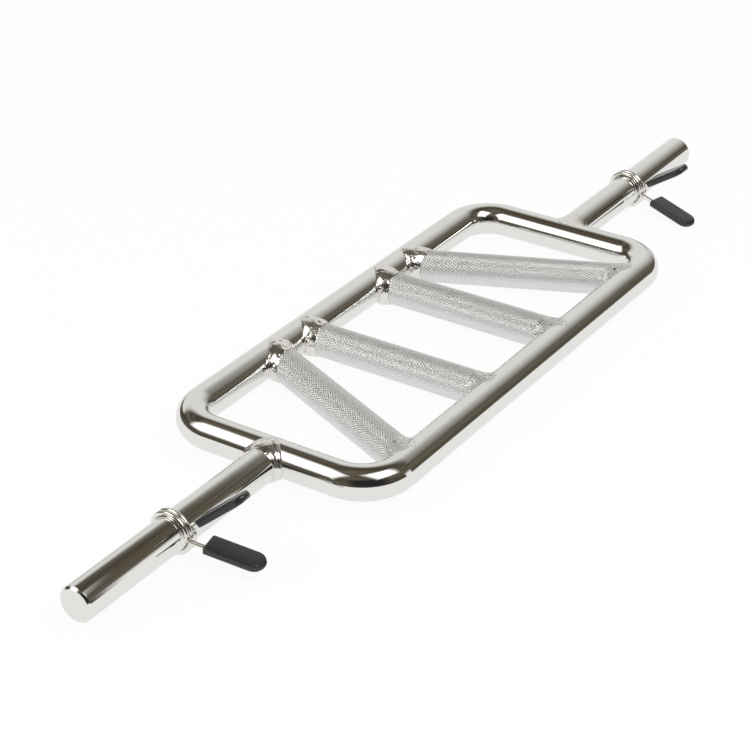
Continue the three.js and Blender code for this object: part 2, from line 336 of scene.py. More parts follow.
# %% Floor
floor_half = 8.0
floor_white = (0.93, 0.93, 0.93, 1)
floor_own_light = 0.93
floor_in_chrome = (0.835, 0.84, 0.835, 1)
floor_mesh = bpy.data.meshes.new("floor")
floor_corners = [(x * floor_half, y * floor_half, 0) for x, y in ((-1, -1), (1, -1), (1, 1), (-1, 1))]
floor_mesh.from_pydata(floor_corners, [], [(0, 1, 2, 3)])
floor = bpy.data.objects.new("floor", floor_mesh)
bpy.context.scene.collection.objects.link(floor)

paper, tree = start_material("white_sweep")
camera_ray, mirror_ray = ray_kinds(tree)
matt = add_node(tree, "ShaderNodeBsdfDiffuse", {"Color": floor_white}).outputs["BSDF"]
glow_colour = mixed_colour(tree, mirror_ray, white, floor_in_chrome)
glow = add_node(tree, "ShaderNodeEmission", {"Color": glow_colour, "Strength": 1.0}).outputs["Emission"]
share = worked(tree, "MULTIPLY", worked(tree, "MAXIMUM", camera_ray, mirror_ray), floor_own_light)
surface = add_node(tree, "ShaderNodeMixShader", {0: share, 1: matt, 2: glow}).outputs["Shader"]
add_node(tree, "ShaderNodeOutputMaterial", {"Surface": surface})
floor_mesh.materials.append(paper)

# %% [markdown]
# What the chrome shows is set with cards round the bar, as in a product studio. Each one faces the bar
# from its own heading and height, has one colour, and fades towards some of its edges, which gives the
# chrome its soft changes. Only mirror rays see a card, so it throws neither light nor shadow on the
# floor.


# %% Helpers for cards
def facing_axes(heading, height_angle):
    """The way from the bar to something that faces it, with that thing's sideways and upward directions."""
    level = Vector((math.cos(heading), math.sin(heading), 0))
    away = level * math.cos(height_angle) + up * math.sin(height_angle)
    aside = level.cross(up)
    return away, aside, aside.cross(away)


def along_axis(tree, place, axis):
    """How far a place lies along an axis."""
    inputs = {0: place, 1: axis}
    return add_node(tree, "ShaderNodeVectorMath", inputs, operation="DOT_PRODUCT").outputs["Value"]


def fading_card(name, way, distance, reach, colour, share_of, lift=0.0):
    """A glowing card for mirror rays only. A rule on the place in the card says how much of it is there."""
    away, aside_axis, rise_axis = facing_axes(*way)
    middle = up * lift + away * distance
    low, high, left, right = reach
    places = ((low, left), (low, right), (high, right), (high, left))
    corners = [middle + rise_axis * rise + aside_axis * aside for rise, aside in places]
    mesh = bpy.data.meshes.new(name)
    mesh.from_pydata(corners, [], [(0, 1, 2, 3)])
    card = bpy.data.objects.new(name, mesh)
    bpy.context.scene.collection.objects.link(card)
    card.visible_camera = False
    card.visible_diffuse = False
    card.visible_shadow = False
    paper, tree = start_material(name)
    place = add_node(tree, "ShaderNodeTexCoord").outputs["Object"]
    off = add_node(tree, "ShaderNodeVectorMath", {0: place, 1: middle}, operation="SUBTRACT").outputs[0]
    rise = along_axis(tree, off, rise_axis)
    aside = along_axis(tree, off, aside_axis)
    clear = add_node(tree, "ShaderNodeBsdfTransparent").outputs["BSDF"]
    glow = add_node(tree, "ShaderNodeEmission", {"Color": colour, "Strength": 1.0}).outputs["Emission"]
    inputs = {0: share_of(tree, rise, aside), 1: clear, 2: glow}
    surface = add_node(tree, "ShaderNodeMixShader", inputs).outputs["Shader"]
    add_node(tree, "ShaderNodeOutputMaterial", {"Surface": surface})
    mesh.materials.append(paper)


def faded_edges(half_height, half_width, whole_share):
    """The rule of a card that is whole out to a share of its half sizes, and fades from there on."""

    def share_of(tree, rise, aside):
        high = worked(tree, "DIVIDE", worked(tree, "ABSOLUTE", rise), half_height)
        wide = worked(tree, "DIVIDE", worked(tree, "ABSOLUTE", aside), half_width)
        return remapped(tree, worked(tree, "MAXIMUM", high, wide), whole_share, 1.0, 1, 0)

    return share_of


# %% [markdown]
# The grey card leans over the bar from its far end. It is what the upper sides of the tubes show. It
# fades out at its top and its right edge, where the chrome changes softly from grey to brown. A gradient
# in the world would look the same at every place along the bar. The card is near, so each tube shows a
# different part of it.

# %% Grey card
card_way = (math.radians(11.9), math.radians(71.4))
card_distance = 2.356
card_reach = (-6.95, -0.3, -6.0, 2.4)
card_fade_height, card_fade_depth = -0.944, 1.089
card_fade_side, card_fade_width = 0.946, 2.814
card_grey = (0.73, 0.73, 0.708, 1)


def card_share(tree, rise, aside):
    """The grey card fades at its top and at its right edge."""
    top_start = card_fade_height - card_fade_depth / 2
    top_share = remapped(tree, rise, top_start, top_start + card_fade_depth, 1, 0)
    side_start = card_fade_side - card_fade_width / 2
    side_share = remapped(tree, aside, side_start, side_start + card_fade_width, 1, 0)
    return worked(tree, "MULTIPLY", top_share, side_share)


fading_card("grey_card", card_way, card_distance, card_reach, card_grey, card_share, axis_height)

# %% [markdown]
# Behind the camera the room is darker still. A black cloth there gives the bend nearest to the camera its
# deep shadow between the white highlight and the floor.

# %% Black cloth
cloth_way = (math.radians(222), math.radians(24))
cloth_distance = 2.3
cloth_high, cloth_wide = 1.2, 1.9
cloth_reach = (-cloth_high, cloth_high, -cloth_wide, cloth_wide)
cloth_whole_share = 0.4
cloth_black = (0.022, 0.021, 0.022, 1)
cloth_share = faded_edges(cloth_high, cloth_wide, cloth_whole_share)
fading_card("black_cloth", cloth_way, cloth_distance, cloth_reach, cloth_black, cloth_share)

# %% [markdown]
# A narrow white board stands on the floor on the right. It lights the lower side of the near sleeve and
# misses the rails, since a card this near lies in another direction from each place along the bar.

# %% White board
board_way = (math.radians(-63), 0)
board_distance = 2.3
board_half_width, board_height = 0.36, 1.05
board_reach = (0, board_height, -board_half_width, board_half_width)
board_fade_height, board_fade_side = 0.35, 0.20
board_white = (0.84, 0.83, 0.82, 1)


def board_share(tree, rise, aside):
    """The board fades upwards and to both sides."""
    high_share = remapped(tree, rise, board_fade_height, board_height, 1, 0)
    off_middle = worked(tree, "ABSOLUTE", aside)
    side_share = remapped(tree, off_middle, board_fade_side, board_half_width, 1, 0)
    return worked(tree, "MULTIPLY", high_share, side_share)


fading_card("white_board", board_way, board_distance, board_reach, board_white, board_share)

# %% [markdown]
# A large soft box hangs over the bar's left near end, and another over its right side. Their white shapes
# are the highlights in the end rails, the bends and the weld beads. The cloth of a real soft box glows
# less at its rim, so a fading card behind each lamp gives the highlights their soft edges.

# %% Lamps
lamp_distance = 2.0
rim_width = 0.4
rim_gap = 0.02
rim_glow = (1.0, 0.99, 0.95, 1)
soft_boxes = {
    "left_soft_box": {"way": (math.radians(140), math.radians(42)), "size": 1.05, "power": 5.5},
    "right_soft_box": {"way": (math.radians(-98), math.radians(60)), "size": 0.95, "power": 10},
}
for name, box in soft_boxes.items():
    lamp_data = bpy.data.lights.new(name, "AREA")
    lamp_data.size = box["size"]
    lamp_data.energy = box["power"]
    lamp = bpy.data.objects.new(name, lamp_data)
    away = facing_axes(*box["way"])[0]
    lamp.location = away * lamp_distance
    lamp.rotation_euler = (-away).to_track_quat("-Z", "Y").to_euler()
    bpy.context.scene.collection.objects.link(lamp)
    edge = box["size"] / 2 + rim_width
    rim_share = faded_edges(edge, edge, box["size"] / 2 / edge)
    rim_distance = lamp_distance + rim_gap
    fading_card(name + "_rim", box["way"], rim_distance, (-edge, edge, -edge, edge), rim_glow, rim_share)
bpy.context.scene.view_settings.view_transform = "Standard"

# %% [markdown]
# ## Finishes
#
# Bright chrome is a nearly perfect mirror. What makes it steel and not glass is small: a slow waviness
# that the bent tube keeps under the plating, and a fine haze. Both come from noise on the object's own
# coordinates, so they stay in place when a collar slides.

# %% Helpers for finishes
haze_patch_share = 9


def end_material(tree, inputs):
    """Ends a material with one surface."""
    surface = add_node(tree, "ShaderNodeBsdfPrincipled", inputs).outputs["BSDF"]
    add_node(tree, "ShaderNodeOutputMaterial", {"Surface": surface})


def plated(name, colour, haze, haze_spread, wave_height, wave_size):
    """A plated metal: a mirror with a little uneven haze and slow waves."""
    material, tree = start_material(name)
    place = add_node(tree, "ShaderNodeTexCoord").outputs["Object"]
    cloud = noise(tree, place, haze_patch_share * wave_size, detail=3.0)
    roughness = remapped(tree, cloud, noise_low, noise_high, haze, haze + haze_spread)
    normal = bumped(tree, noise(tree, place, wave_size, detail=1.0), wave_height)
    end_material(tree, {"Base Color": colour, "Metallic": 1.0, "Roughness": roughness, "Normal": normal})
    return material


# %% Metals
metal_colours = {
    "chrome_tube": (0.90, 0.895, 0.875, 1),
    "chromed_weld": (0.90, 0.88, 0.84, 1),
    "ground_weld": (0.87, 0.87, 0.85, 1),
    "spring_wire": (0.92, 0.90, 0.85, 1),
}
metal_skins = {
    "chrome_tube": {"haze": 0.035, "haze_spread": 0.03, "wave_height": 0.03 * mm, "wave_size": 14 * mm},
    "chromed_weld": {"haze": 0.16, "haze_spread": 0.10, "wave_height": 0.08 * mm, "wave_size": 3 * mm},
    "ground_weld": {"haze": 0.46, "haze_spread": 0.12, "wave_height": 0.06 * mm, "wave_size": 2 * mm},
    "spring_wire": {"haze": 0.17, "haze_spread": 0.05, "wave_height": 0.006 * mm, "wave_size": 4 * mm},
}
metals = {name: plated(name, colour, **metal_skins[name]) for name, colour in metal_colours.items()}
chrome = metals["chrome_tube"]
spring_steel = metals["spring_wire"]

# %% [markdown]
# Knurling is chrome too, and its small faces throw the light about. Its colour holds painted shade: a darker
# grey in the grooves between the teeth and a paler painted light on their crests. Each tooth carries its own
# height from groove to crest as an attribute, which the finish reads for that painted shade.

# %% Knurled chrome
# Painted shade and light: the grooves get a darker grey and the crests a paler one, by each tooth's height.
groove_painted_shade = (0.74, 0.75, 0.745, 1)
crest_painted_light = (0.97, 0.98, 0.975, 1)
painted_shade_top_share = 0.6
knurl_haze, knurl_most_haze = 0.42, 0.50
knurl_patch = 1 / 60
knurled_chrome, tree = start_material("knurled_chrome")
rise_for_painted_shade = add_node(tree, "ShaderNodeAttribute", attribute_name="rise_for_painted_shade").outputs["Fac"]
colour = mixed_colour(tree, remapped(tree, rise_for_painted_shade, 0.0, painted_shade_top_share, 0, 1), groove_painted_shade, crest_painted_light)
place = add_node(tree, "ShaderNodeTexCoord").outputs["Object"]
cloud = noise(tree, place, knurl_patch, detail=3.0)
roughness = remapped(tree, cloud, noise_low, noise_high, knurl_haze, knurl_most_haze)
end_material(tree, {"Base Color": colour, "Metallic": 1.0, "Roughness": roughness})

# %% [markdown]
# The grips are steel wire dipped in vinyl. Dipped vinyl is nearly black and satin, with a faint
# orange-peel surface, and it catches a soft light only where it turns over an edge.

# %% Vinyl
vinyl_black = (0.028, 0.028, 0.028, 1)
vinyl_haze, vinyl_most_haze = 0.17, 0.23
vinyl_patch = 1 / 120
peel_size = 0.9 * mm
peel_height = 0.006 * mm
vinyl, tree = start_material("dipped_vinyl")
place = add_node(tree, "ShaderNodeTexCoord").outputs["Object"]
normal = bumped(tree, noise(tree, place, peel_size, detail=3.0), peel_height)
cloud = noise(tree, place, vinyl_patch, detail=2.0)
roughness = remapped(tree, cloud, noise_low, noise_high, vinyl_haze, vinyl_most_haze)
end_material(tree, {"Base Color": vinyl_black, "Roughness": roughness, "Normal": normal})

# %% [markdown]
# ## The bent frame
#
# On the real bar this is one tube, bent round four formers and closed with a butt weld. A round section
# pushed along a rectangle with filleted corners is the same thing, and a small tree does it:
# quadrilateral, fillet, sweep. Its sizes are inputs, so a longer frame or a tighter bend is one number.

# %% Bent frame
tree, sizes = start_shape_tree(
    "bent_frame",
    {
        "Length": "Float",
        "Width": "Float",
        "Bend Radius": "Float",
        "Bend Steps": "Int",
        "Tube Radius": "Float",
        "Tube Sides": "Int",
        "Height": "Float",
        "Finish": "Material",
    },
)
inputs = {"Width": sizes["Length"], "Height": sizes["Width"]}
oblong = add_node(tree, "GeometryNodeCurvePrimitiveQuadrilateral", inputs, mode="RECTANGLE").outputs["Curve"]
inputs = {"Curve": oblong, "Radius": sizes["Bend Radius"], "Count": sizes["Bend Steps"]}
line = add_node(tree, "GeometryNodeFilletCurve", inputs, mode="POLY").outputs["Curve"]
tube = swept_round(tree, line, sizes["Tube Radius"], sizes["Tube Sides"], False)
lift = point_at(tree, 0.0, 0.0, sizes["Height"])
lifted = add_node(tree, "GeometryNodeTransform", {"Geometry": tube, "Translation": lift}).outputs["Geometry"]
end_shape_tree(tree, lifted, sizes["Finish"])

bend_steps = 32
frame_sides = 160
frame_sizes = {
    "Length": 2 * rail_x,
    "Width": 2 * rail_y,
    "Bend Radius": frame_bend_radius,
    "Bend Steps": bend_steps,
    "Tube Radius": tube_radius,
    "Tube Sides": frame_sides,
    "Height": axis_height,
    "Finish": chrome,
}
frame_skin = grown(tree, "bent_frame_tube", frame_sizes)
print("volume inside the bent tube:", round(face_outwards(frame_skin) / mm**3 / 1000), "ml")
as_piece("bent_frame_tube", frame_skin, "bar", ["frame_tube"])

# %% [markdown]
# ## Coped tubes
#
# Where a tube lands on a rail the fitter copes it: its end is cut to the rail's round, so that it sits
# without a gap. A boolean cut would do it, but it leaves long thin faces that a mirror finish shows. The
# cut has a simple rule, so each point of the end is slid along the tube until it meets the rail's skin.


# %% Coping
def coped_ring(landing, out_of_rail, rail_direction, radius, sides):
    """Where a tube of some radius, running out of a rail, meets the rail's skin."""
    across = out_of_rail.cross(up).normalized()
    ring = []
    for side in range(sides):
        angle = 2 * math.pi * side / sides
        on_tube = (across * math.cos(angle) + up * math.sin(angle)) * radius
        flat_tube = out_of_rail - rail_direction * out_of_rail.dot(rail_direction)
        flat_point = on_tube - rail_direction * on_tube.dot(rail_direction)
        a = flat_tube.length_squared
        b = flat_tube.dot(flat_point)
        c = flat_point.length_squared - tube_radius**2
        distance = (-b + math.sqrt(b * b - a * c)) / a
        ring.append(landing + on_tube + out_of_rail * distance)
    return ring


def square_ring(centre, direction, radius, sides):
    """A ring square to a tube."""
    across = direction.cross(up).normalized()
    turns = [2 * math.pi * side / sides for side in range(sides)]
    return [centre + (across * math.cos(turn) + up * math.sin(turn)) * radius for turn in turns]


def skinned(name, rings, material, closed, sharp_angle):
    """A mesh over rings. A closed row joins its last ring to its first, and an open one has filled ends."""
    sides = len(rings[0])
    points = [point for ring in rings for point in ring]
    faces = []
    for ring in range(len(rings) if closed else len(rings) - 1):
        following = (ring + 1) % len(rings)
        for side in range(sides):
            beside = (side + 1) % sides
            corners = (ring, side), (ring, beside), (following, beside), (following, side)
            faces.append([row * sides + column for row, column in corners])
    if not closed:
        faces.append(list(range(sides)))
        faces.append([(len(rings) - 1) * sides + side for side in range(sides)])
    mesh = bpy.data.meshes.new(name)
    mesh.from_pydata(points, [], faces)
    mesh.materials.append(material)
    face_outwards(mesh)
    mesh.shade_smooth()
    mesh.set_sharp_from_angle(angle=sharp_angle)
    return mesh


# %% [markdown]
# ## Sleeves
#
# The sleeves are solid rounds of the tube's size. Their outer ends are faced flat and chamfered so that
# plates slide on, and the chamfer's two edges are rubbed round in polishing. That is a turned profile, so
# each ring is written down from the chamfer's size.

# %% Sleeves
tube_sides = 192
sharp_edge = math.radians(28)
rubbed = 0.22 * mm
edge_drop_share, edge_run_share, edge_fall_share = 0.18, 0.7, 0.9


def sleeve_mesh(name, direction):
    """A sleeve from the end rail's skin to its chamfered outer end."""
    outwards = along_bar * direction
    landing = Vector((direction * rail_x, 0, axis_height))
    tip = overall_length / 2 - rail_x
    shoulder = tip - sleeve_chamfer
    tip_radius = tube_radius - sleeve_chamfer
    profile = [
        (tube_radius, shoulder - rubbed),
        (tube_radius - rubbed * edge_drop_share, shoulder),
        (tube_radius - rubbed * edge_fall_share, shoulder + rubbed * edge_run_share),
        (tip_radius + rubbed * edge_run_share, tip - rubbed * edge_fall_share),
        (tip_radius, tip - rubbed * edge_drop_share),
        (tip_radius - rubbed, tip),
    ]
    rings = [coped_ring(landing, outwards, across_bar, tube_radius, tube_sides)]
    for radius, along in profile:
        rings.append(square_ring(landing + outwards * along, outwards, radius, tube_sides))
    return skinned(name, rings, chrome, False, sharp_edge)


sides_of_bar = {"near": -1, "far": 1}
for side, direction in sides_of_bar.items():
    name = side + "_plate_sleeve"
    as_piece(name, sleeve_mesh(name, direction), "bar", [side + "_sleeve"])

# %% [markdown]
# ## Handles
#
# Each handle is a tube coped to both rails. Rolling the knurl pushes metal up out of grooves, so the tube
# under the teeth is a little thinner than plain tube.

# %% Handle tubes
handle_lines = {
    "near_slanted_handle": (-slanted_left_x, -slanted_right_x),
    "near_straight_handle": (-straight_handle_x, -straight_handle_x),
    "far_straight_handle": (straight_handle_x, straight_handle_x),
    "far_slanted_handle": (slanted_left_x, slanted_right_x),
}
knurl_depth = 0.12 * mm


def handle_ends(name):
    """A handle's ends on the centre lines of the left and right rails."""
    left_x, right_x = handle_lines[name]
    return Vector((left_x, rail_y, axis_height)), Vector((right_x, -rail_y, axis_height))


def handle_mesh(name):
    """A coped tube with its bore."""
    start, end = handle_ends(name)
    direction = (end - start).normalized()
    skin_radius = tube_radius - knurl_depth
    bore = tube_radius - tube_wall
    far_ring = coped_ring(end, -direction, along_bar, skin_radius, tube_sides)
    bore_ring = coped_ring(end, -direction, along_bar, bore, tube_sides)
    half = tube_sides // 2
    rings = [
        coped_ring(start, direction, along_bar, skin_radius, tube_sides),
        [far_ring[(half - side) % tube_sides] for side in range(tube_sides)],
        [bore_ring[(half - side) % tube_sides] for side in range(tube_sides)],
        coped_ring(start, direction, along_bar, bore, tube_sides),
    ]
    return skinned(name + "_tube", rings, chrome, True, sharp_edge)


for name in handle_lines:
    as_piece(name + "_tube", handle_mesh(name), "bar", [name])
    start, end = handle_ends(name)
    print(name, "runs", round((end - start).length / mm, 1), "mm between the rails' centre lines")

# %% [markdown]
# ## Knurling
#
# Knurling is rolled: two crossing sets of grooves at 30 degrees to the handle leave rows of small
# four-sided points, each row half a step on from the last. It stops at the welds, so its ends run along
# the rails, not square across. A bump map would look flat at the outline, where the real handle shows
# fine teeth. So a tree sets a pyramid on each point of a staggered lattice wrapped round the tube. Every
# pyramid has four faces, which keeps thousands of them light.

# %% Knurling tree
tree, sizes = start_shape_tree(
    "knurling",
    {
        "Tube Radius": "Float",
        "Around": "Int",
        "Rows": "Int",
        "Row Step": "Float",
        "Tooth Height": "Float",
        "Slant": "Float",
        "Left End": "Float",
        "Right End": "Float",
        "Finish": "Material",
    },
)
count = worked(tree, "MULTIPLY", sizes["Around"], sizes["Rows"])
index = add_node(tree, "GeometryNodeInputIndex").outputs["Index"]
row = worked(tree, "FLOOR", worked(tree, "DIVIDE", index, sizes["Around"]))
column = worked(tree, "SUBTRACT", index, worked(tree, "MULTIPLY", row, sizes["Around"]))
stagger = worked(tree, "MULTIPLY", worked(tree, "MODULO", row, 2.0), 0.5)
step_angle = worked(tree, "DIVIDE", 2 * math.pi, sizes["Around"])
turn = worked(tree, "MULTIPLY", worked(tree, "ADD", column, stagger), step_angle)
last_row = worked(tree, "SUBTRACT", sizes["Rows"], 1.0)
from_middle = worked(tree, "SUBTRACT", row, worked(tree, "MULTIPLY", last_row, 0.5))
along = worked(tree, "MULTIPLY", from_middle, sizes["Row Step"])
cosine = worked(tree, "COSINE", turn)
sine = worked(tree, "SINE", turn)
outwards = point_at(tree, cosine, 0.0, sine)
x = worked(tree, "MULTIPLY", cosine, sizes["Tube Radius"])
z = worked(tree, "MULTIPLY", sine, sizes["Tube Radius"])
lattice = add_node(tree, "GeometryNodePoints", {"Count": count, "Position": point_at(tree, x, along, z)})
inputs = {"Primary Axis": outwards, "Secondary Axis": (0, 1, 0)}
aside = worked(tree, "MULTIPLY", x, worked(tree, "SINE", sizes["Slant"]))
across_frame = worked(tree, "MULTIPLY_ADD", along, worked(tree, "COSINE", sizes["Slant"]), aside)
short_of_left = worked(tree, "LESS_THAN", across_frame, sizes["Left End"])
right_end = worked(tree, "MULTIPLY", sizes["Right End"], -1.0)
short_of_right = worked(tree, "GREATER_THAN", across_frame, right_end)
kept = worked(tree, "MULTIPLY", short_of_left, short_of_right)
upright = add_node(tree, "FunctionNodeAxesToRotation", inputs, primary_axis="Z", secondary_axis="Y")
inputs = {"Vertices": 4, "Radius Top": 0.0, "Radius Bottom": 1.0, "Depth": sizes["Tooth Height"]}
tooth = add_node(tree, "GeometryNodeMeshCone", inputs, fill_type="NONE").outputs["Mesh"]
corner = add_node(tree, "GeometryNodeInputPosition").outputs["Position"]
corner_height = add_node(tree, "ShaderNodeSeparateXYZ", {"Vector": corner}).outputs["Z"]
# Each corner's share of the tooth's height, which the finish uses to paint shade darker towards the grooves.
rise_for_painted_shade = worked(tree, "DIVIDE", corner_height, sizes["Tooth Height"])
inputs = {"Geometry": tooth, "Name": "rise_for_painted_shade", "Value": rise_for_painted_shade}
tooth = add_node(tree, "GeometryNodeStoreNamedAttribute", inputs).outputs["Geometry"]
half_tooth = worked(tree, "MULTIPLY", worked(tree, "MULTIPLY", sizes["Tube Radius"], step_angle), 0.5)
inputs = {
    "Points": lattice.outputs["Points"],
    "Selection": kept,
    "Instance": tooth,
    "Rotation": upright.outputs["Rotation"],
    "Scale": point_at(tree, half_tooth, sizes["Row Step"], 1.0),
}
teeth = add_node(tree, "GeometryNodeInstanceOnPoints", inputs).outputs["Instances"]
end_shape_tree(tree, teeth, sizes["Finish"], smooth=False)
knurling_tree = tree

# %% Knurled bands
left_weld_leg = 7 * mm
right_weld_leg = 3.6 * mm
teeth_around = 41
row_step = 1.68 * mm
tooth_height = 0.25 * mm
for name in handle_lines:
    start, end = handle_ends(name)
    along = start - end
    slant = math.atan2(-along.x, along.y)
    knurl_sizes = {
        "Tube Radius": tube_radius - knurl_depth,
        "Around": teeth_around,
        "Rows": round(along.length / row_step),
        "Row Step": row_step,
        "Tooth Height": tooth_height,
        "Slant": slant,
        "Left End": rail_y - tube_radius - left_weld_leg + row_step / 2,
        "Right End": rail_y - tube_radius - right_weld_leg + row_step / 2,
        "Finish": knurled_chrome,
    }
    band = grown(knurling_tree, name + "_knurling", knurl_sizes)
    band.transform(Matrix.Translation((start + end) / 2) @ Matrix.Rotation(slant, 4, "Z"))
    as_piece(name + "_knurling", band, "bar")
    print(name, "has", len(band.polygons) // 4, "teeth")

# %% [markdown]
# ## Welds
#
# A weld fills the corner between two tubes. Those on the left rail are full and stand proud like a
# swollen collar. Those on the right rail are ground down to hollow fillets that run smoothly into both
# tubes, with a few pits left. The near sleeve's weld lies between the two and keeps a ridge from each of
# its two passes. The far one's is smooth.
#
# All are one shape with other numbers: for each angle round the seam a short curve runs from the toe on
# the tube to the toe on the rail, pulled out by the bulge. A swept round bead is simpler, but it can't be
# hollow. Two tubes of one size only just meet at their sides, so the seam is taken a hair inside the
# tube. A tree then adds the lumps and pits.


# %% Weld skin tree
def seeded_noise(tree, place, seed, size):
    """Soft patches that fall in other places for each seed."""
    inputs = {"Vector": place, "W": seed, "Scale": worked(tree, "DIVIDE", 1.0, size), "Detail": 1.0}
    return add_node(tree, "ShaderNodeTexNoise", inputs, noise_dimensions="4D").outputs[0]


tree, sizes = start_shape_tree(
    "weld_skin",
    {
        "Lumps": "Float",
        "Lump Size": "Float",
        "Pits": "Float",
        "Pit Size": "Float",
        "Seed": "Float",
        "Finish": "Material",
    },
)
entry = tree.nodes["Group Input"].outputs["Geometry"]
place = add_node(tree, "GeometryNodeInputPosition").outputs["Position"]
normal = add_node(tree, "GeometryNodeInputNormal").outputs["Normal"]
lumps = seeded_noise(tree, place, sizes["Seed"], sizes["Lump Size"])
push = worked(tree, "MULTIPLY", worked(tree, "SUBTRACT", lumps, noise_middle), sizes["Lumps"])
holes = seeded_noise(tree, place, sizes["Seed"], sizes["Pit Size"])
pit_start, pit_bottom = 0.56, 0.70
holes = remapped(tree, holes, pit_start, pit_bottom, 0, 1)
push = worked(tree, "SUBTRACT", push, worked(tree, "MULTIPLY", holes, sizes["Pits"]))
offset = add_node(tree, "ShaderNodeVectorMath", {0: normal, "Scale": push}, operation="SCALE").outputs[0]
skin = add_node(tree, "GeometryNodeSetPosition", {"Geometry": entry, "Offset": offset}).outputs["Geometry"]
end_shape_tree(tree, skin, sizes["Finish"])
weld_tree = tree

# %% Weld sizes
weld_stations = 150
weld_steps = 24
weld_root = 1.2 * mm
weld_passes = 2
inside_seam_share = 1 - 1e-6
weld_metals = {"left": "chromed_weld", "right": "ground_weld", "near": "chromed_weld", "far": "chromed_weld"}
weld_forms = {
    "left": {"tube_leg": left_weld_leg, "rail_leg": 2.6 * mm, "bulge": 4.6 * mm, "ridge": 0},
    "right": {"tube_leg": right_weld_leg, "rail_leg": 4.5 * mm, "bulge": 0.6 * mm, "ridge": 0},
    "near": {"tube_leg": 5 * mm, "rail_leg": 4 * mm, "bulge": 3.2 * mm, "ridge": 0.4 * mm},
    "far": {"tube_leg": 6 * mm, "rail_leg": 5 * mm, "bulge": 0.8 * mm, "ridge": 0},
}
weld_skins = {
    "left": {"Lumps": 1.4 * mm, "Lump Size": 5.5 * mm, "Pits": 0.5 * mm, "Pit Size": 3 * mm},
    "right": {"Lumps": 0.3 * mm, "Lump Size": 8 * mm, "Pits": 1.1 * mm, "Pit Size": 3 * mm},
    "near": {"Lumps": 0.9 * mm, "Lump Size": 6 * mm, "Pits": 0.3 * mm, "Pit Size": 2.5 * mm},
    "far": {"Lumps": 0.4 * mm, "Lump Size": 8 * mm, "Pits": 0.2 * mm, "Pit Size": 3 * mm},
}


# %% Welds
def weld_section(landing, out_of_rail, rail_direction, angle, seam_point, tube_leg, rail_leg, bulge, ridge):
    """The weld's section at one angle round the seam: a curve between its toes, closed under the skins."""
    across = out_of_rail.cross(up).normalized()
    beside = rail_direction * math.copysign(1, across.dot(rail_direction))
    off_rail = (out_of_rail - beside * out_of_rail.dot(beside)).normalized()
    sideways, upwards = math.cos(angle), math.sin(angle)
    on_tube = (across * sideways + up * upwards) * tube_radius
    reach = (tube_radius + tube_leg - on_tube.dot(off_rail)) / out_of_rail.dot(off_rail)
    tube_toe = landing + on_tube + out_of_rail * reach
    from_landing = seam_point - landing
    seam_turn = math.atan2(from_landing.dot(up), from_landing.dot(off_rail))
    round_rail = seam_turn + upwards * rail_leg / tube_radius
    on_rail = (off_rail * math.cos(round_rail) + up * math.sin(round_rail)) * tube_radius
    rail_toe = landing + beside * (from_landing.dot(beside) + sideways * rail_leg) + on_rail
    away = (off_rail * abs(sideways) + beside * sideways + up * upwards).normalized()
    pull = seam_point + away * bulge
    section = [seam_point - away * weld_root]
    for step in range(weld_steps + 1):
        share = step / weld_steps
        curve = tube_toe * (1 - share) ** 2 + pull * 2 * share * (1 - share) + rail_toe * share**2
        section.append(curve + away * ridge * math.sin(math.pi * weld_passes * share) ** 2)
    return section


def weld_piece(name, kind, landing, out_of_rail, rail_direction, seed):
    """The weld round the end of a tube that lands on a rail."""
    seam = coped_ring(landing, out_of_rail, rail_direction, tube_radius * inside_seam_share, weld_stations)
    rings = []
    for station, seam_point in enumerate(seam):
        angle = 2 * math.pi * station / weld_stations
        way = (landing, out_of_rail, rail_direction, angle, seam_point)
        rings.append(weld_section(*way, **weld_forms[kind]))
    finish = metals[weld_metals[kind]]
    solid = skinned(name + "_fill", rings, finish, True, math.pi)
    values = {**weld_skins[kind], "Seed": float(seed), "Finish": finish}
    mesh = grown(weld_tree, name + "_bead", values, solid)
    face_outwards(mesh)
    as_piece(name + "_bead", mesh, "bar", [name])


first_right_seed = 10
sleeve_seeds = {"near": 20, "far": 21}
for order, name in enumerate(handle_lines):
    start, end = handle_ends(name)
    direction = (end - start).normalized()
    weld_piece(name + "_left_weld", "left", start, direction, along_bar, order)
    weld_piece(name + "_right_weld", "right", end, -direction, along_bar, order + first_right_seed)
for side, direction in sides_of_bar.items():
    landing = Vector((direction * rail_x, 0, axis_height))
    weld_piece(side + "_sleeve_weld", side, landing, along_bar * direction, across_bar, sleeve_seeds[side])

# %% [markdown]
# ## Spring collars
#
# A collar is one length of hard wire. It is wound twice round the sleeve and both ends are bent out for
# the hand. Squeezing the handles together opens the winding. Here the winding, its two ends and the two
# handles are separate pieces of the same wire. The winding rides on its collar, each handle on its own
# body, and the two ends on neither.
#
# The winding follows a rule: a point goes round at one radius while it moves along the bar by the pitch.
# The tree works out each point from its share of the way. Where the winding would reach under the floor
# it is worn flat.

# %% Winding tree
tree, sizes = start_shape_tree(
    "winding",
    {
        "Coil Radius": "Float",
        "Wire Radius": "Float",
        "Start Angle": "Float",
        "End Angle": "Float",
        "Turn": "Float",
        "Travel per Radian": "Float",
        "Middle Angle": "Float",
        "Steps": "Int",
        "Wire Sides": "Int",
        "Floor Depth": "Float",
        "Finish": "Material",
    },
)
inputs = {"Start": (0, 0, 0), "End": (1, 0, 0)}
straight = add_node(tree, "GeometryNodeCurvePrimitiveLine", inputs).outputs["Curve"]
inputs = {"Curve": straight, "Count": sizes["Steps"]}
straight = add_node(tree, "GeometryNodeResampleCurve", inputs, mode="COUNT").outputs["Curve"]
way = add_node(tree, "GeometryNodeSplineParameter").outputs["Factor"]
span = worked(tree, "SUBTRACT", sizes["End Angle"], sizes["Start Angle"])
angle = worked(tree, "ADD", sizes["Start Angle"], worked(tree, "MULTIPLY", way, span))
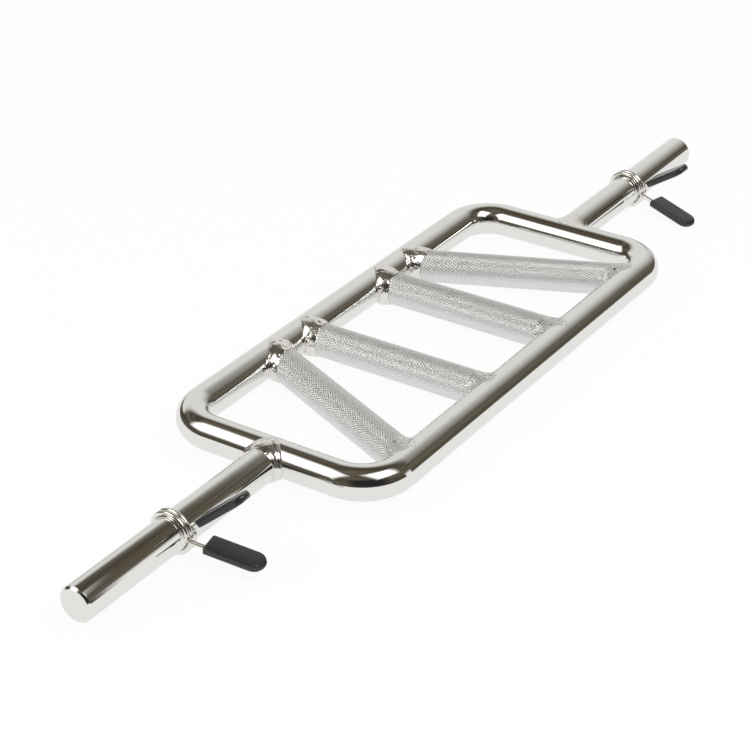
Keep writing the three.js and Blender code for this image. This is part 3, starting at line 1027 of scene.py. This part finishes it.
from_middle = worked(tree, "SUBTRACT", angle, sizes["Middle Angle"])
x = worked(tree, "MULTIPLY", from_middle, sizes["Travel per Radian"])
turned = worked(tree, "ADD", angle, sizes["Turn"])
inwards = worked(tree, "MULTIPLY", sizes["Coil Radius"], -1.0)
y = worked(tree, "MULTIPLY", worked(tree, "COSINE", turned), inwards)
z = worked(tree, "MULTIPLY", worked(tree, "SINE", turned), sizes["Coil Radius"])
inputs = {"Geometry": straight, "Position": point_at(tree, x, y, z)}
line = add_node(tree, "GeometryNodeSetPosition", inputs).outputs["Geometry"]
wire = swept_round(tree, line, sizes["Wire Radius"], sizes["Wire Sides"], True)
place = add_node(tree, "GeometryNodeInputPosition").outputs["Position"]
parts = add_node(tree, "ShaderNodeSeparateXYZ", {"Vector": place}).outputs
depth = worked(tree, "MULTIPLY", sizes["Floor Depth"], -1.0)
kept = point_at(tree, parts["X"], parts["Y"], worked(tree, "MAXIMUM", parts["Z"], depth))
wire = add_node(tree, "GeometryNodeSetPosition", {"Geometry": wire, "Position": kept}).outputs["Geometry"]
end_shape_tree(tree, wire, sizes["Finish"])
winding_tree = tree

# %% Windings
coil_angle = 2 * math.pi * coil_turns
stretch_angle = math.radians(70)
travel_per_radian = 2 * coil_half_width / (coil_angle + 2 * coil_end_angle)
steps_per_radian = 14
wire_sides = 20


def winding_point(collar, angle):
    """The middle of the wire at an angle of the winding, in the bar's own frame."""
    turned = angle + collar["turn"]
    x = (angle - coil_angle / 2) * travel_per_radian
    round_bar = Vector((x, -coil_radius * math.cos(turned), coil_radius * math.sin(turned)))
    return round_bar + Vector((collar["x"], 0, axis_height))


def winding_mesh(name, collar, start_angle, end_angle):
    """A stretch of the winding between two angles."""
    winding_sizes = {
        "Coil Radius": coil_radius,
        "Wire Radius": wire_radius,
        "Start Angle": start_angle,
        "End Angle": end_angle,
        "Turn": collar["turn"],
        "Travel per Radian": travel_per_radian,
        "Middle Angle": coil_angle / 2,
        "Steps": round((end_angle - start_angle) * steps_per_radian) + 1,
        "Wire Sides": wire_sides,
        "Floor Depth": axis_height,
        "Finish": spring_steel,
    }
    mesh = grown(winding_tree, name, winding_sizes)
    mesh.transform(Matrix.Translation((collar["x"], 0, axis_height)))
    face_outwards(mesh)
    return mesh


for name, collar in collars.items():
    first, last = -coil_end_angle, coil_angle + coil_end_angle
    inner = winding_mesh(name + "_winding", collar, first + stretch_angle, last - stretch_angle)
    as_piece(name + "_winding", inner, name, [name + "_coil"])
    for side, ring_angle, root_angle in (
        ("upper", last - stretch_angle, last),
        ("lower", first + stretch_angle, first),
    ):
        end_name = name + "_winding_" + side + "_end"
        end_mesh = winding_mesh(end_name, collar, min(ring_angle, root_angle), max(ring_angle, root_angle))
        piece = as_piece(end_name, end_mesh, None)
        begin = winding_point(collar, ring_angle)
        finish = winding_point(collar, root_angle)
        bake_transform(piece)

# %% [markdown]
# ## Collar handles
#
# Each end of the wire leaves the winding in a tight bend, runs along one side of the grip, turns round
# its tip and comes back along the other side. The path is bent up from its radii, and a tree sweeps the
# round wire along it.

# %% Drawn wire tree
tree, sizes = start_shape_tree(
    "drawn_wire",
    {"Wire Radius": "Float", "Wire Sides": "Int", "Finish": "Material"},
)
entry = tree.nodes["Group Input"].outputs["Geometry"]
line = add_node(tree, "GeometryNodeMeshToCurve", {"Mesh": entry}).outputs["Curve"]
wire = swept_round(tree, line, sizes["Wire Radius"], sizes["Wire Sides"], True)
end_shape_tree(tree, wire, sizes["Finish"])
wire_tree = tree


# %% Handle wires
def leaned(point, lean):
    """A point of a handle turned in the plane of its grip, about the end of the wire's bend."""
    pivot = Vector((coil_half_width, -bend_end, 0))
    return Matrix.Rotation(lean, 3, "Z") @ (point - pivot) + pivot


def handle_place(collar, side):
    """From a handle that points along -Y, at the bar's axis, to its place on its collar."""
    place = Matrix.Translation((collar["x"], 0, axis_height)) @ Matrix.Rotation(-collar["turn"], 4, "X")
    if side == "lower":
        place = place @ Matrix.Rotation(math.pi, 4, "Y")
    return place @ Matrix.Rotation(-half_spread, 4, "X")


def wire_path(lean):
    """The middle of the wire, out of the winding, round the grip's tip and back."""
    path = []
    bend_steps, turn_steps = 12, 20
    for step in range(bend_steps + 1):
        angle = math.pi - wire_lead - (math.pi / 2 - wire_lead) * step / bend_steps
        out = bend_end + wire_bend_radius * math.cos(angle)
        height = wire_bend_radius * math.sin(angle) - bend_centre * math.sin(wire_lead)
        path.append(Vector((coil_half_width, -out, height)))
    centre = Vector((coil_half_width - wire_loop_radius, -grip_tip_centre, -handle_offset))
    for step in range(turn_steps + 1):
        angle = math.pi * step / turn_steps
        away = Vector((math.cos(angle), -math.sin(angle), 0)) * wire_loop_radius
        path.append(leaned(centre + away, lean))
    tail = Vector((coil_half_width - 2 * wire_loop_radius, -grip_start - wire_tail, -handle_offset))
    path.append(leaned(tail, lean))
    return path


# %% [markdown]
# The grip is a flat sheath. Its section is an oblong with well rounded edges, and its tip is round in both
# directions. Rings of that section are skinned from the root to the tip.

# %% Grips
section_steps = 8
root_steps = 4
body_shares = (0.25, 0.5, 0.75, 1)
tip_steps = 12
root_round = 1.3 * mm
edge_radius = 1.3 * mm
tip_edge_radius = 2.4 * mm
tip_round_length = 4.5 * mm
tip_flat_turn = math.radians(84)
root_thinning_share = 0.6
least_tip_width_share = 0.5
grip_sharp_edge = math.radians(50)


def grip_ring(along, half_width, half_thickness, edge_radius):
    """One ring of a grip: an oblong with rounded corners."""
    corner = min(edge_radius, half_thickness, half_width)
    centre_x = coil_half_width - wire_loop_radius
    ring = []
    for quarter, (right, high) in enumerate(((1, 1), (-1, 1), (-1, -1), (1, -1))):
        for step in range(section_steps + 1):
            angle = math.pi / 2 * (quarter + step / section_steps)
            x = centre_x + right * (half_width - corner) + corner * math.cos(angle)
            z = high * (half_thickness - corner) + corner * math.sin(angle) - handle_offset
            ring.append(Vector((x, -along, z)))
    return ring


def grip_mesh(name, lean):
    """A dipped sheath from its root to its round tip."""
    half_width = grip_width / 2
    half_thickness = grip_thickness / 2
    rings = []
    for step in range(root_steps + 1):
        angle = math.pi / 2 * step / root_steps
        drawn_in = root_round * (1 - math.sin(angle))
        along = grip_start + root_round * (1 - math.cos(angle))
        thick = half_thickness - drawn_in * root_thinning_share
        rings.append(grip_ring(along, half_width - drawn_in, thick, edge_radius))
    for share in body_shares:
        start = grip_start + root_round
        along = start + (grip_tip_centre - start) * share
        rings.append(grip_ring(along, half_width, half_thickness, edge_radius))
    for step in range(1, tip_steps + 1):
        angle = tip_flat_turn * step / tip_steps
        along = grip_tip_centre + half_width * math.sin(angle)
        left = grip_start + grip_length - along
        thick = half_thickness * math.sqrt(1 - max(1 - left / tip_round_length, 0) ** 2)
        wide = max(half_width * math.cos(angle), thick * least_tip_width_share)
        edge = edge_radius + (tip_edge_radius - edge_radius) * math.sin(angle)
        rings.append(grip_ring(along, wide, thick, edge))
    rings = [[leaned(point, lean) for point in ring] for ring in rings]
    return skinned(name, rings, vinyl, False, grip_sharp_edge)


for name, collar in collars.items():
    for side in ("upper", "lower"):
        lean = -collar["lean"] if side == "lower" else collar["lean"]
        handle = name + "_" + side
        place = handle_place(collar, side)
        wire_sizes = {"Wire Radius": wire_radius, "Wire Sides": wire_sides, "Finish": spring_steel}
        wire = grown(wire_tree, handle + "_bent_wire", wire_sizes, path_mesh(handle, wire_path(lean)))
        wire.transform(place)
        face_outwards(wire)
        as_piece(handle + "_bent_wire", wire, handle + "_handle", [handle + "_wire"])
        sheath = grip_mesh(handle + "_dipped_grip", lean)
        sheath.transform(place)
        as_piece(handle + "_dipped_grip", sheath, handle + "_handle", [handle + "_grip"])
